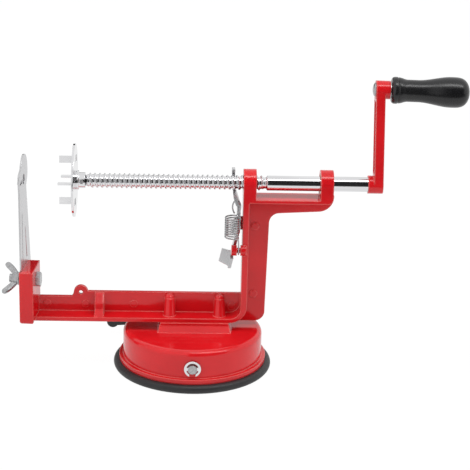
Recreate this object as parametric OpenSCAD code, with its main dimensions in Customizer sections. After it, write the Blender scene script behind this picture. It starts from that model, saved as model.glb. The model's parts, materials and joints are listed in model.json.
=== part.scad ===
// Hand cranked spiral slicer for potatoes, on a suction base.
// X runs along the feed screw towards the crank, Y away from the user, Z up.
// The origin is the centre of the rubber cup's underside.

/* [Suction cup] */
// Radius of the rubber cup's lip
cup_r = 46.4; // [45:0.1:55]
// Height of the cup's lip
cup_lip_h = 5; // [4:0.5:7]
// Width of the cup's thick lip
cup_lip_w = 9; // [8:0.5:12]
// Thickness of the cup's membrane
membrane_t = 2.4; // [1.6:0.1:3]

/* [Base housing] */
// Radius of the housing's wall
housing_r = 40.8; // [39:0.1:42]
// How far the bottom rim stands out from the wall
rim_out = 2.4; // [1:0.1:3]
// Height of the bottom rim
rim_h = 2.8; // [2:0.1:4]
// Height of the housing above the cup's lip
housing_h = 19; // [18:0.5:28]
// Thickness of the housing's wall and roof
housing_wall = 2.5; // [1.6:0.1:3.2]
// Radius of the roof's edge
housing_edge_r = 3; // [1:0.5:4]
// Length of the pad that carries the bar
pad_l = 43; // [42:1:52]
// Width of the pad
pad_w = 24; // [20:1:30]
// Height of the pad above the roof
pad_h = 5.2; // [4.6:0.2:9]
// Thickness of the pad's top
pad_top_t = 3; // [2:0.2:3.4]
// Offset of the pad and the bar's screws from the cup's centre
pad_off = 0.9; // [0:0.1:1]

/* [Suction lock] */
// Height of the cam shaft above the cup's underside
cam_z = 14; // [13:0.1:14.4]
// Radius of the cam shaft
cam_shaft_r = 2.7; // [2:0.1:3.2]
// Radius of the lifting cam
cam_r = 5; // [4.5:0.1:5.2]
// Offset of the cam from its shaft
cam_throw = 1.5; // [1:0.1:1.7]
// Width of the cam along its shaft
cam_w = 6; // [4:0.5:8]
// Wall of the stud's yoke
yoke_wall = 2.4; // [1.5:0.1:2.4]
// Length of the suction lever from its shaft to its tip
lever_len = 53; // [48:1:70]
// Height of the lever's round tip
lever_tip_w = 7.2; // [6:0.2:9]
// Height of the lever's neck
lever_neck_w = 4.8; // [3.5:0.1:5.5]
// Thickness of the lever
lever_t = 6; // [5:0.5:8]
// Droop of the lever in degrees
lever_droop = 6; // [0:0.5:7]
// Thickness of the retaining clip
clip_t = 0.8; // [0.6:0.1:1.2]

/* [Frame casting] */
// Height of the shaft's axis above the frame's underside
axis_h = 83.3; // [75:0.5:95]
// Half depth of the frame, and radius of the lugs' tops
frame_half_d = 8; // [7.5:0.1:10]
// Distance from the shaft's axis back to the web
web_y = 3; // [2:0.1:4]
// Thickness of the web
web_t = 2.4; // [2:0.1:3]
// Thickness of the bar's bottom flange
flange_t = 2.4; // [2:0.1:4]
// Height of the bar
bar_h = 14.6; // [13:0.2:19]
// Height of the bar beside the end plate
bar_end_h = 11.4; // [9:0.2:12.4]
// Length of the bar from the cup's centre to the end plate
bar_len = 91.1; // [85:0.1:110]
// Distance from the cup's centre to the pillar
pillar_x = 27.7; // [26:0.1:34]
// Width of the pillar
pillar_w = 14.6; // [12:0.2:20]
// Thickness of the pillar's flange
pillar_flange_t = 3.6; // [2.6:0.1:5]
// Outer radius of the flange's bend at the pillar's foot
bend_r = 10; // [8:0.5:12]
// Distance from the shaft's axis down to the arm's top
arm_drop = 8.2; // [7:0.1:11]
// Height of the arm
arm_h = 10.8; // [8:0.1:14]
// Thickness of the arm's flange
arm_flange_t = 2; // [1.5:0.1:3]
// Fillet between pillar and arm
arm_fillet = 6; // [3:0.5:9]
// Radius of the arm's outer corner
arm_corner_r = 9; // [5:0.5:9.5]
// Thickness of a bearing lug
lug_t = 7.4; // [6:0.1:9]
// Length over both lugs
lug_span = 51.5; // [46:0.5:60]
// Radius of the ear on the bar
ear_r = 4.2; // [3.6:0.1:5.5]
// Radius of the hole in the ear
ear_hole_r = 1.2; // [0.8:0.1:1.8]
// Distance from the end plate to the ear
ear_from_end = 25.2; // [20:0.2:30]
// Width of the gusset beside the ear
gusset_w = 5.2; // [3:0.2:8]
// Distance from the ear to the gusset's middle
gusset_from_ear = 11; // [8.5:0.2:20]
// Radius of a screw boss at its foot
boss_r = 3.7; // [3:0.1:4]
// Radius of a screw boss at its top
boss_top_r = 2.9; // [2:0.1:3]
// Distance of each screw from the pad's middle
screw_x = 14.6; // [14.2:0.1:15]
// Radius of a frame screw
screw_r = 1.9; // [1.5:0.1:2]

/* [End plate and blade] */
// Thickness of the end plate
plate_t = 7; // [6:0.1:9]
// Depth of the end plate
plate_d = 24; // [20:0.5:32]
// Height of the end plate
plate_h = 31.6; // [28:0.2:40]
// Turn of the end plate and blade about the vertical in degrees
rake = 4.5; // [2:0.5:6]
// Corner radius of the end plate
plate_r = 2.5; // [1:0.5:4]
// Height of the blade bolt above the frame's underside
bolt_h = 24.2; // [20:0.2:26]
// Radius of the blade bolt
bolt_r = 2.5; // [2:0.1:3]
// Thickness of the blade
blade_t = 0.9; // [0.7:0.1:1.2]
// Distance from the shaft's axis to the blade's near edge
near_w = 12.7; // [11:0.1:15]
// Distance from the shaft's axis to the blade's far edge at its foot
foot_w = 19; // [15:0.5:22]
// Distance from the shaft's axis to the blade's far edge at its waist
waist_w = 7.3; // [6.5:0.1:10]
// Radius of the blade's round head
head_r = 10.5; // [10:0.1:12]
// Radius of the coring tube
core_r = 3.6; // [2.5:0.1:4]
// Height of the raised cutting lip
lip_h = 0.8; // [0.5:0.1:2]

/* [Feed screw] */
// Radius of the smooth shaft and of the thread's crest
shaft_r = 4.3; // [4:0.05:4.6]
// Pitch of the thread
pitch = 2.8; // [2.4:0.05:3.2]
// Depth of the thread
thread_depth = 0.8; // [0.6:0.05:0.9]
// Number of turns
turns = 35; // [30:1:36]
// Radius of the prong disc
disc_r = 21; // [18:0.5:26]
// Thickness of the prong disc
disc_t = 1.2; // [0.8:0.1:1.6]
// Distance from the axis to the middle of a prong
prong_ring = 12; // [10:0.5:14]
// Width of a prong
prong_w = 4; // [3:0.2:5]
// Length of a prong
prong_len = 8; // [6:0.2:11]
// Length of the disc's hub
hub_len = 5.6; // [4:0.2:8]

/* [Crank] */
// Distance from the shaft's axis to the grip's axis
crank_throw = 55.8; // [45:0.2:70]
// Gap between right lug and crank hub
crank_gap = 20; // [19:0.2:30]
// Thickness of the crank arm
arm_t = 5.2; // [4:0.1:7]
// Depth of the crank arm
arm_d = 10.2; // [7:0.1:10.2]
// How far the arm's top leans towards the frame
arm_lean = 1.7; // [0:0.1:2.5]
// Radius of the crank's bosses
crank_boss_r = 5.2; // [5.2:0.1:7]
// How far the hub stands out of the arm
hub_out = 3.4; // [2:0.1:5]
// Length of the boss at the arm's top
top_boss_l = 8.1; // [7.4:0.1:11]
// Radius of the grip's spindle
spindle_r = 2.6; // [2:0.1:3]

/* [Grip] */
// Length of the grip
grip_len = 44.2; // [38:0.2:56]
// Droop of the grip in degrees
grip_droop = 1.2; // [0:0.1:2]
// Radius of the grip's collar
grip_collar_r = 7.6; // [6.8:0.1:9]
// Radius of the grip's waist
grip_waist_r = 6.25; // [5.2:0.05:6.6]
// Radius of the grip's bulge
grip_bulge_r = 8.65; // [7.5:0.05:10]

/* [Release lever] */
// Thickness of the release plate
release_t = 1.8; // [1.2:0.1:1.8]
// Distance from the pillar to the plate at the shaft
release_gap = 4.7; // [4.2:0.1:5.2]
// Distance from the shaft's axis down to the lever's pivot
pivot_drop = 24.5; // [22:0.5:27]
// Radius of the pivot
pivot_r = 2; // [1.5:0.1:2.5]
// Radius of the spring's wire
wire_r = 0.45; // [0.35:0.05:0.5]
// Mean radius of the spring's coil
coil_r = 3.8; // [3.2:0.1:4]
// Turns of the spring
coil_turns = 9; // [6:1:10]
// Distance from the spring's wire to the next turn
coil_gap = 0.5; // [0.45:0.05:0.9]

/* [Hidden] */
$fn = 48;
// Clearances
run_gap = 0.05;
free_gap = 0.35;
seat_gap = 0.1;

// Heights
housing_z = cup_lip_h;
roof_z = housing_z + housing_h;
frame_z = roof_z + pad_h;
axis_z = frame_z + axis_h;
arm_top = axis_z - arm_drop;
arm_bottom = arm_top - arm_h;

// Frame
web_back = web_y + web_t;
end_x = -bar_len;
pillar_right = pillar_x + pillar_w;
pillar_foot_r = 6;
pillar_foot_drop = 2.5;
pillar_foot_gap = 1;
pillar_foot_x = pad_off + pad_l / 2 + pillar_foot_gap;
pillar_foot_z = frame_z - pillar_foot_drop;
lug_right = pillar_x + lug_span;
lug_foot_r = 3;
arm_end_x = lug_right + 1.4;
arm_rise = 1.2;
pillar_top_x = pillar_right + 1.1;
ear_flare = 1.6;
ear_x = end_x + ear_from_end;
ear_z = frame_z + bar_h - 0.7;
gusset_x = ear_x + gusset_from_ear;
mark_r = 2.2;
mark_h = 0.3;
mark_from_ear = 31;
// The screw bosses stand on the flange and lean back to the web's top
boss_y = boss_r + 2 - frame_half_d;
boss_top_y = web_y - boss_top_r + 0.8;
boss_top_z = frame_z + bar_h - boss_top_r - 0.2;

// Screws through the pad into the bar
screw_y = boss_y + 1.4;
screw_depth = 7;
screw_head_r = 4;
screw_head_h = 2.6;
slot_w = 1;
washer_t = 0.8;
washer_r = 4.4;
pad_under_z = frame_z - pad_top_t;
pad_slant = 1.6;
pad_draft = 3;
pad_brow = 1.6;
pocket_l = 2 * (screw_x + washer_r + free_gap);
pocket_w = pad_w - 8;

// Suction lock
clip_groove_d = 0.7;
clip_r = cam_shaft_r + 2.1;
clip_band = 1.3;
clip_tab_h = 2;
clip_y = -housing_r - free_gap;
cam_front_y = clip_y - clip_t - 1;
lever_y = housing_r + rim_out + free_gap;
lever_hub_r = cam_shaft_r + 4;
lever_pin_inset = 0.6;
cam_back_y = lever_y + lever_t;
yoke_x = cam_r + cam_throw + free_gap;
yoke_slack = 0.55;
yoke_low_z = cam_z - cam_throw - cam_r - yoke_slack;
yoke_top_z = cam_z - cam_throw + cam_r + yoke_slack;
yoke_half_d = cam_w / 2 + 1;
foot_r = 16;

// End plate, seen from above turned about its middle
plate_y = frame_half_d - plate_d / 2 + 0.5;
plate_lip_w = 2;
plate_lip_t = 1;
plate_edge_r = 2;
bolt_z = frame_z + bolt_h;
bolt_head_r = 4.5;
bolt_head_h = 2.6;
bolt_over = 1.5;
nut_h = 5;
nut_r = 3.9;
wing_t = 1.8;
wing_turn = -46;
wing_tip_r = 2.1;
wing_reach = 8;
wing_flare = 9;

// Blade, measured from where the shaft's axis meets it
blade_left = -plate_t - blade_t;
blade_axis_y = -plate_y;
blade_low_z = bolt_z - 7;
plate_top_z = frame_z + plate_h;
waist_z = axis_z - 5;
head_y = 2;
head_z = axis_z + 3.5;
nose_out = 1.7;
slot_z = axis_z - 1;
slot_h = 2;
lip_t = 0.5;
lip_low = 1;
lip_rise = 4.5;
rib_d = 0.25;
rib_w = 1.6;
rib_near_y = -7;
rib_near_l = 30;
rib_far_y = 5.7;
rib_far_l = 20;
rib_far_lean = 11.6;

// Feed screw
root_r = shaft_r - thread_depth;
core_shaft_r = root_r - 0.25;
release_x = pillar_x - release_gap - release_t / 2;
// The groove's middle, as a share of the pitch, meets the lever's tooth
groove_share = 0.825;
tooth_t = 0.8;
tooth_turns = 29;
thread_x = release_x - pitch * (tooth_turns + groove_share);
thread_end_x = thread_x + pitch * (turns + 1);
thread_sides = 14;
// Share of the pitch and height of each strand of the thread's ridge
strand_share = [0, 0.22, 0.43, 0.65];
strand_r = [root_r, shaft_r, shaft_r, root_r];
strands = len(strand_share);
hub_right = thread_x - 1.2;
hub_left = hub_right - hub_len;
disc_x = hub_left - disc_t;
hub_r = 4.5;
hub_flange_r = 5.6;
hub_flange_t = 2;
shaft_tip_x = disc_x - 0.6;
hub_pin_x = hub_left + 3.6;
smooth_x = thread_end_x + 1.5;
crank_x = lug_right + crank_gap;
arm_x = crank_x + hub_out;
shaft_end_x = arm_x + arm_t - 1.5;
crank_pin_x = crank_x + 2.4;
cross_pin_r = 1;
pin_inset = 0.3;
bush_r = shaft_r + 1.6;
bush_inset = 0.2;
disc_turn = -6;
crank_pin_depth = 2;
channel_d = 2.2;
channel_wall = 1.5;
channel_end = 1.4;

// Grip, along its own axis from the arm's left face
grip_z = axis_z + crank_throw;
spindle_washer_t = 0.6;
grip_at = top_boss_l + spindle_washer_t + free_gap;
spindle_head_r = 4;
spindle_head_t = 1.6;
spindle_edge = 0.8;
spindle_end = grip_at + grip_len - 6;
collar_edge = 1.2;
collar_l = 3;
grip_neck_r = grip_collar_r - 0.25;
groove_at = 3.4;
groove_d = 0.3;
neck_at = 4;
waist_at = 9;
waist_end = 15;
bulge_at = grip_len - 10.4;
end_power = 3.6;

// Release lever
tooth_r = root_r + free_gap;
tooth_w = 2.6;
pivot_z = axis_z - pivot_drop;
pivot_y = 1;
pivot_boss_t = 1;
pivot_head_t = 1.2;
plate_low_x = pillar_x - pivot_boss_t - free_gap - release_t / 2;
release_front = 2 - frame_half_d;
limb_front = -2;
release_top = axis_z + 7;
tab_drop = 48.5;
tab_z = axis_z - tab_drop;
tab_low_x = release_x - 1.5;
tab_t = 1.6;
tab_top_out = 4.5;
tab_top_h = 10.4;
tab_neck_out = 0.5;
tab_neck_h = 9;
tab_root_out = 1.2;
tab_tip_out = 0.4;
tab_tip_h = 0.8;
tab_edge_out = 1.8;
tab_edge_h = 0.5;
tab_low_out = 6.2;
tab_low_h = 2.8;

// The peg that the spring's lower end hangs on
peg_drop = 38.5;
peg_z = axis_z - peg_drop;
peg_y = 0.5 - frame_half_d;
peg_neck_r = 1.5;
peg_head_r = 3.1;
peg_foot_l = 2.4;
peg_boss_x = pillar_x - 1;
peg_neck_x = peg_boss_x - 2.1;
peg_head_x = peg_neck_x - 3.1;
foot_top_z = peg_z - peg_head_r - 2.4;

// Spring
coil_pitch = 2 * wire_r + coil_gap;
coil_x = release_x - 0.7;
coil_y = -frame_half_d - 3.2;
coil_drop = 29.6;
coil_z = axis_z - coil_drop;
hook_x = release_x + 1.7;
hook_y = coil_y + 0.6;
hook_z = coil_z + coil_turns * coil_pitch + 5.6;
hook_rx = 2.3;
hook_rz = 4;
loop_x = (peg_boss_x + peg_neck_x) / 2;
loop_r = peg_neck_r + wire_r + free_gap;
spring_hole_z = hook_z + hook_rz - 0.2;
spring_hole_r = 1.1;

// Shape helpers

// A drawing in X and Z, made solid from y0 to y1
module solid_y(y0, y1) {
    translate([0, y1, 0])
        rotate([90, 0, 0])
            linear_extrude(y1 - y0)
                children();
}

// A drawing in Y and Z, made solid from x0 to x1
module solid_x(x0, x1) {
    translate([x0, 0, 0])
        rotate([90, 0, 90])
            linear_extrude(x1 - x0)
                children();
}

// A round bar along X at height z
module bar_x(r, x0, x1, y, z) {
    translate([x0, y, z])
        rotate([0, 90, 0])
            cylinder(r = r, h = x1 - x0);
}

// A round bar along Y at height z
module bar_y(r, y0, y1, x, z) {
    translate([x, y1, z])
        rotate([90, 0, 0])
            cylinder(r = r, h = y1 - y0);
}

// What a round corner takes off a square one; sx and sz point from the middle to the corner
module corner_waste(x, z, r, sx, sz) {
    difference() {
        translate([x - (sx > 0 ? r : 1), z - (sz > 0 ? r : 1)])
            square(r + 1);
        translate([x - sx * r, z - sz * r])
            circle(r);
    }
}

// The end plate's own frame: x along the bolt, y along the plate's depth
module at_end_plate() {
    translate([end_x, plate_y, 0])
        rotate([0, 0, -rake])
            children();
}

// The grip's own frame: x along its axis, from the arm's left face
module at_grip() {
    translate([arm_x - arm_lean, 0, grip_z])
        rotate([0, grip_droop, 0])
            children();
}

// Both frame screws' places, at height z
module at_screws(z) {
    for (side = [-1, 1])
        translate([pad_off + side * screw_x, screw_y, z])
            children();
}

// Suction base

module rubber_cup() {
    color("dimgray")
        rotate_extrude($fn = 96)
            union() {
                square([cup_r - cup_lip_h / 2, membrane_t]);
                translate([cup_r - cup_lip_w, 0])
                    square([cup_lip_w - cup_lip_h / 2, cup_lip_h]);
                intersection() {
                    translate([cup_r - cup_lip_h / 2, cup_lip_h / 2])
                        circle(cup_lip_h / 2);
                    translate([cup_r - cup_lip_h / 2, 0])
                        square(cup_lip_h);
                }
            }
}

module cup_stud() {
    low_z = membrane_t + free_gap;
    color("gray")
        difference() {
            union() {
                translate([0, 0, low_z])
                    cylinder(r = foot_r, h = yoke_low_z - low_z);
                translate([-yoke_x - yoke_wall, -yoke_half_d, yoke_low_z - 1])
                    cube([2 * (yoke_x + yoke_wall), 2 * yoke_half_d, yoke_top_z + yoke_wall - yoke_low_z + 1]);
            }
            translate([-yoke_x, -yoke_half_d - 1, yoke_low_z])
                cube([2 * yoke_x, 2 * yoke_half_d + 2, yoke_top_z - yoke_low_z]);
        }
}

module housing_section() {
    difference() {
        union() {
            translate([0, housing_z])
                square([housing_r, housing_h]);
            translate([0, housing_z])
                square([housing_r + rim_out, rim_h]);
        }
        corner_waste(housing_r, roof_z, housing_edge_r, 1, 1);
        translate([-1, housing_z - 1])
            square([housing_r - housing_wall + 1, housing_h - housing_wall + 1]);
    }
}

module pad_outline() {
    translate([pad_off, 0])
        polygon([
            [-pad_l / 2, roof_z - 1],
            [pad_l / 2, roof_z - 1],
            [pad_l / 2 - pad_slant, frame_z],
            [pad_slant - pad_l / 2, frame_z]
        ]);
}

// The pad seen along X: a short upright brow over a sloping front and back
module pad_profile() {
    brow_y = pad_w / 2 - pad_draft;
    polygon([
        [-pad_w / 2, roof_z - 1],
        [pad_w / 2, roof_z - 1],
        [pad_w / 2, roof_z],
        [brow_y, frame_z - pad_brow],
        [brow_y, frame_z],
        [-brow_y, frame_z],
        [-brow_y, frame_z - pad_brow],
        [-pad_w / 2, roof_z]
    ]);
}

module base_housing() {
    color("crimson")
        difference() {
            union() {
                rotate_extrude($fn = 96)
                    housing_section();
                intersection() {
                    solid_y(-pad_w / 2, pad_w / 2)
                        pad_outline();
                    solid_x(pad_off - pad_l, pad_off + pad_l)
                        pad_profile();
                }
            }
            translate([pad_off - pocket_l / 2, -pocket_w / 2, roof_z - housing_wall - 1])
                cube([pocket_l, pocket_w, pad_under_z - roof_z + housing_wall + 1]);
            bar_y(cam_shaft_r + run_gap, -housing_r - 2, housing_r + 2, 0, cam_z);
            at_screws(pad_under_z - 1)
                cylinder(r = screw_r + seat_gap, h = pad_top_t + 2);
        }
}

module cam_shaft() {
    color("silver")
        difference() {
            bar_y(cam_shaft_r, cam_front_y, cam_back_y, 0, cam_z);
            difference() {
                bar_y(cam_shaft_r + 1, clip_y - clip_t - seat_gap, clip_y, 0, cam_z);
                bar_y(cam_shaft_r - clip_groove_d, clip_y - clip_t - 1, clip_y + 1, 0, cam_z);
            }
            bar_x(cross_pin_r, -cam_shaft_r - 1, cam_shaft_r + 1, lever_y + lever_t / 2, cam_z);
        }
}

module lift_cam() {
    color("gainsboro")
        difference() {
            bar_y(cam_r, -cam_w / 2, cam_w / 2, 0, cam_z - cam_throw);
            bar_y(cam_shaft_r, -cam_w, cam_w, 0, cam_z);
        }
}

module e_clip() {
    groove_r = cam_shaft_r - clip_groove_d;
    inner_r = clip_r - clip_band;
    tab_end = inner_r + clip_band / 2;
    opening = 0.9 * groove_r;
    color("silver")
        solid_y(clip_y - clip_t, clip_y)
            translate([0, cam_z])
                difference() {
                    union() {
                        difference() {
                            circle(clip_r);
                            circle(inner_r);
                        }
                        for (side = [-1, 1])
                            translate([side * (groove_r + tab_end) / 2, 0])
                                square([tab_end - groove_r, clip_tab_h], center = true);
                    }
                    translate([-opening, -2 * clip_r])
                        square([2 * opening, 2 * clip_r]);
                }
}

// The lever tapers from its hub to a neck and ends in a round tip
module lever_shape() {
    tip_r = lever_tip_w / 2;
    bar_y(lever_hub_r, lever_y, lever_y + lever_t, 0, 0);
    bar_y(tip_r, lever_y, lever_y + lever_t, tip_r - lever_len, 0);
    solid_y(lever_y, lever_y + lever_t)
        polygon([
            [0, lever_neck_w],
            [0, -lever_neck_w],
            [tip_r - lever_len, -lever_neck_w / 2],
            [tip_r - lever_len, lever_neck_w / 2]
        ]);
}

module suction_lever() {
    color("black")
        difference() {
            translate([0, 0, cam_z])
                rotate([0, -lever_droop, 0])
                    lever_shape();
            bar_y(cam_shaft_r, lever_y - 1, lever_y + lever_t + 1, 0, cam_z);
            bar_x(cross_pin_r, lever_pin_inset - lever_hub_r, lever_hub_r + 1, lever_y + lever_t / 2, cam_z);
        }
}

module lever_pin() {
    reach = lever_hub_r - lever_pin_inset;
    color("silver")
        bar_x(cross_pin_r, -reach, reach, lever_y + lever_t / 2, cam_z);
}

// Frame

module frame_screws() {
    color("silver")
        at_screws(pad_under_z - washer_t - screw_head_h)
            difference() {
                union() {
                    cylinder(r = screw_head_r, h = screw_head_h);
                    cylinder(r = screw_r, h = screw_head_h + washer_t + pad_top_t + screw_depth);
                }
                translate([-screw_head_r - 1, -slot_w / 2, -1])
                    cube([2 * screw_head_r + 2, slot_w, slot_w + 1]);
            }
}

module screw_washers() {
    color("silver")
        at_screws(pad_under_z - washer_t)
            difference() {
                cylinder(r = washer_r, h = washer_t);
                translate([0, 0, -1])
                    cylinder(r = screw_r + seat_gap, h = washer_t + 2);
            }
}

module web_drawing() {
    difference() {
        union() {
            translate([end_x - 2, frame_z])
                square([pillar_right - end_x + 2, bar_end_h]);
            translate([ear_x, frame_z])
                square([pillar_right - ear_x, bar_h]);
            translate([ear_x, ear_z])
                circle(ear_r);
            polygon([
                [ear_x - ear_r - ear_flare, frame_z + bar_end_h - 1],
                [ear_x, frame_z + bar_end_h - 1],
                [ear_x, ear_z],
                [ear_x - 0.8 * ear_r, ear_z + 0.28 * ear_r]
            ]);
            polygon([
                [pillar_x, frame_z],
                [pillar_foot_x, frame_z],
                [pillar_foot_x, pillar_foot_z],
                [pillar_right, pillar_foot_z],
                [pillar_right, frame_z + pillar_foot_r],
                [pillar_top_x, arm_bottom - arm_fillet],
                [pillar_top_x, arm_top],
                [pillar_x, arm_top]
            ]);
            polygon([
                [pillar_x, arm_bottom],
                [pillar_top_x + arm_fillet, arm_bottom],
                [arm_end_x - arm_corner_r, arm_bottom + arm_rise],
                [arm_end_x, arm_bottom + arm_rise],
                [arm_end_x, arm_top],
                [pillar_x, arm_top]
            ]);
            translate([pillar_top_x - 1, arm_bottom - arm_fillet])
                square([arm_fillet + 1, arm_fillet]);
        }
        translate([pillar_top_x + arm_fillet, arm_bottom - arm_fillet])
            circle(arm_fillet);
        corner_waste(pillar_right, pillar_foot_z, pillar_foot_r, 1, -1);
        corner_waste(arm_end_x, arm_bottom + arm_rise, arm_corner_r, 1, -1);
        translate([ear_x, ear_z])
            circle(ear_hole_r);
    }
}

module flange_drawing() {
    inner_r = bend_r - pillar_flange_t;
    flange_right = pillar_x + pillar_flange_t;
    difference() {
        translate([end_x - 2, frame_z])
            square([flange_right - end_x + 2, arm_top - frame_z]);
        corner_waste(flange_right, frame_z, bend_r, 1, -1);
        difference() {
            translate([end_x - 3, frame_z + flange_t])
                square([pillar_x - end_x + 3, arm_top - frame_z]);
            corner_waste(pillar_x, frame_z + flange_t, inner_r, 1, -1);
        }
    }
}

module lug_drawing() {
    translate([0, axis_z])
        circle(frame_half_d);
    translate([-frame_half_d, arm_top - arm_flange_t])
        square([2 * frame_half_d, arm_drop + arm_flange_t]);
}

// The end plate seen along X, with round lower corners
module plate_drawing() {
    difference() {
        translate([-plate_d / 2, frame_z])
            square([plate_d, plate_h]);
        corner_waste(-plate_d / 2, frame_z, plate_r, -1, -1);
        corner_waste(plate_d / 2, frame_z, plate_r, 1, -1);
    }
}

// The end plate, with a lip in front of the blade and round lower edges
module end_plate() {
    at_end_plate()
        difference() {
            union() {
                solid_x(-plate_t, 0)
                    plate_drawing();
                intersection() {
                    solid_x(-plate_t - plate_lip_t, 0)
                        plate_drawing();
                    translate([-2 * plate_t, plate_lip_w - 1.5 * plate_d, 0])
                        cube([2 * plate_t, plate_d, 2 * axis_z]);
                }
            }
            solid_y(-plate_d, plate_d) {
                corner_waste(-plate_t - plate_lip_t, frame_z, plate_edge_r, -1, -1);
                corner_waste(0, frame_z, plate_edge_r, 1, -1);
            }
        }
}

// A gusset that runs from the web's top down to the flange's front
module gusset() {
    solid_x(gusset_x - gusset_w / 2, gusset_x + gusset_w / 2)
        polygon([
            [web_y + 1, frame_z + bar_h - 0.6],
            [web_y - 1, frame_z + bar_h - 0.6],
            [web_y - 6, frame_z + bar_h - 5.6],
            [web_y - 6.5, frame_z + 6],
            [1.5 - frame_half_d, frame_z + flange_t],
            [1.5 - frame_half_d, frame_z + 1],
            [web_y + 1, frame_z + 1]
        ]);
}

// A round boss that leans from the flange's front to the web's top, with a rib behind it
module screw_boss(x) {
    rise = boss_top_z - frame_z;
    back = boss_top_y - boss_y;
    lean = atan2(back, rise);
    translate([x, boss_y, frame_z + flange_t / 2])
        rotate([-lean, 0, 0])
            cylinder(r1 = boss_r, r2 = boss_top_r, h = norm([rise - flange_t / 2, back]));
    translate([x, boss_top_y, boss_top_z])
        sphere(boss_top_r);
    solid_x(x - boss_top_r, x + boss_top_r)
        polygon([
            [boss_y, frame_z + flange_t / 2],
            [web_y + 1, frame_z + flange_t / 2],
            [web_y + 1, boss_top_z],
            [boss_top_y, boss_top_z]
        ]);
}

module spring_peg() {
    bar_x(peg_head_r, peg_boss_x, pillar_x + peg_foot_l, peg_y, peg_z);
    bar_x(peg_neck_r, peg_neck_x - 1, pillar_x + 1, peg_y, peg_z);
    bar_x(peg_head_r, peg_head_x, peg_neck_x, peg_y, peg_z);
}

// Round marks that the casting's ejector pins leave on the web
module ejector_marks() {
    low = frame_z + bar_h / 2;
    marks = [
        [end_x + 5.4, low - 0.2],
        [ear_x + 2.8, low - 0.4],
        [ear_x + mark_from_ear, low],
        [pillar_x - 5, low - 1],
        [pillar_right - 7, frame_z + bar_h],
        [pillar_right - 7, arm_bottom - 8]
    ];
    for (mark = marks)
        translate([mark[0], 0, mark[1]])
            bar_y(mark_r, web_y - mark_h, web_y + 1, 0, 0);
}

module frame_casting() {
    color("crimson")
        difference() {
            union() {
                solid_y(web_y, web_back)
                    web_drawing();
                solid_y(-frame_half_d, web_back)
                    flange_drawing();
                translate([pillar_x, -frame_half_d, arm_top - arm_flange_t])
                    cube([lug_span, 2 * frame_half_d, arm_flange_t]);
                solid_x(pillar_x, pillar_x + lug_t)
                    lug_drawing();
                solid_x(lug_right - lug_t, lug_right)
                    lug_drawing();
                end_plate();
                gusset();
                screw_boss(pad_off - screw_x);
                screw_boss(pad_off + screw_x);
                spring_peg();
                ejector_marks();
                bar_x(pivot_r + 2, pillar_x - pivot_boss_t, pillar_x + 1, pivot_y, pivot_z);
            }
            bar_x(shaft_r + free_gap, pillar_x - 1, pillar_x + lug_t + 1, 0, axis_z);
            bar_x(bush_r + run_gap, lug_right - lug_t - 1, lug_right + 1, 0, axis_z);
            bar_x(pivot_r, pillar_x - pivot_boss_t - 1, pillar_x + pillar_flange_t + 1, pivot_y, pivot_z);
            for (span = [[-frame_half_d - 1, web_y], [web_back, frame_half_d + 1]])
                solid_y(span[0], span[1])
                    corner_waste(lug_right, arm_top - arm_flange_t, lug_foot_r, 1, -1);
            at_screws(frame_z - 1)
                cylinder(r = screw_r, h = screw_depth + 1.5);
            at_end_plate()
                bar_x(bolt_r + seat_gap, -plate_t - 1, 1, 0, bolt_z);
        }
}

// Blade

// A straight near edge with a nose at the axis, a far edge that narrows to a waist, and a round head
module blade_outline() {
    polygon([
        [-near_w, blade_low_z],
        [foot_w - 3, blade_low_z],
        [foot_w, blade_low_z + 4],
        [waist_w, waist_z],
        [head_y, head_z],
        [head_y - head_r * sin(30), head_z + head_r * cos(30)],
        [5.5 - near_w, axis_z + 8.3],
        [-near_w - nose_out / 4, axis_z + 4.8],
        [-near_w - nose_out, axis_z + 1.5],
        [-near_w - nose_out / 3, waist_z]
    ]);
    translate([head_y, head_z])
        circle(head_r);
}

// Two pressed grooves that stiffen the plate: where each starts, its lean and its length
module blade_ribs() {
    for (rib = [[rib_near_y, 0, rib_near_l], [rib_far_y, rib_far_lean, rib_far_l]])
        translate([-plate_t, rib[0], plate_top_z + 3])
            rotate([rib[1], 0, 0])
                translate([-rib_d, -rib_w / 2, 0])
                    cube([1, rib_w, rib[2]]);
}

module slicer_blade() {
    slot_near = 1.2 - near_w;
    slot_far = -core_r - 0.7;
    color("lightgray")
        at_end_plate()
            translate([0, blade_axis_y, 0]) {
                difference() {
                    solid_x(blade_left, -plate_t)
                        blade_outline();
                    bar_x(bolt_r + seat_gap, blade_left - 1, 1, plate_y, bolt_z);
                    bar_x(core_r, blade_left - 1, 1, 0, axis_z);
                    translate([blade_left - 1, slot_near, slot_z])
                        cube([blade_t + 2, slot_far - slot_near, slot_h]);
                    blade_ribs();
                }
                // The cutting lip, pushed out of the plate above its slot
                solid_y(slot_near, slot_far)
                    polygon([
                        [blade_left + lip_t, slot_z + slot_h + lip_rise],
                        [blade_left, slot_z + slot_h + lip_rise],
                        [blade_left - lip_h, slot_z + lip_low],
                        [blade_left - lip_h + lip_t, slot_z + lip_low],
                        [blade_left + lip_t, slot_z + slot_h + lip_low]
                    ]);
            }
}

module coring_tube() {
    color("silver")
        at_end_plate()
            difference() {
                union() {
                    bar_x(core_r, blade_left - 2, -plate_t, blade_axis_y, axis_z);
                    bar_x(core_r + 0.8, blade_left - 0.8, blade_left, blade_axis_y, axis_z);
                }
                bar_x(core_r - 0.6, blade_left - 3, 1, blade_axis_y, axis_z);
            }
}

module blade_bolt() {
    color("silver")
        at_end_plate()
            union() {
                bar_x(bolt_r, blade_left - washer_t - free_gap - nut_h - bolt_over, 1, 0, bolt_z);
                translate([0, 0, bolt_z])
                    rotate([0, 90, 0])
                        cylinder(r = bolt_head_r, h = bolt_head_h, $fn = 6);
            }
}

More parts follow.
